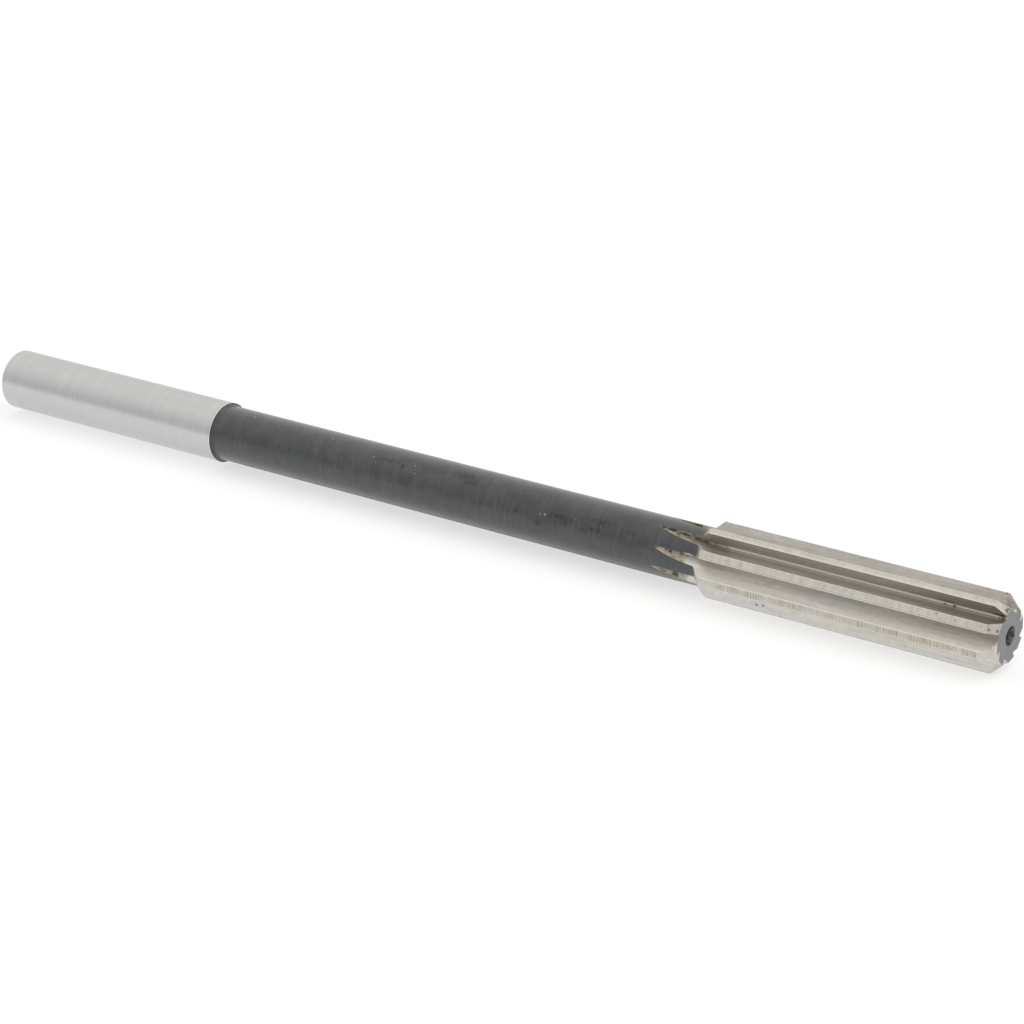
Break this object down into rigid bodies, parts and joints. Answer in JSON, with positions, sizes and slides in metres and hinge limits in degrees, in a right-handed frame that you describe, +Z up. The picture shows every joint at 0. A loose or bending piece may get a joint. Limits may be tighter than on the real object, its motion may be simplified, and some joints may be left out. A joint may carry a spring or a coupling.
{
  "type": "machine reamer",
  "caption": "Straight-shank, straight-flute machine reamer: bright ground shank, slim dark neck and a fluted cutting end with a bevel lead, for sizing a drilled hole.",
  "frame": {"origin": "on the tool's axis at the shoulder where the shank meets the neck", "axes": "+X along the tool's axis towards the cutting end; +Z up as the tool lies at rest on two of its teeth"},
  "size_m": [0.1778, 0.0106, 0.0104],
  "materials": {
    "tool_steel": "ground bright on the shank, teeth and flutes, dark oxide on the neck"
  },
  "bodies": {
    "root": {"reamer": "tool_steel"}
  },
  "joints": []
}
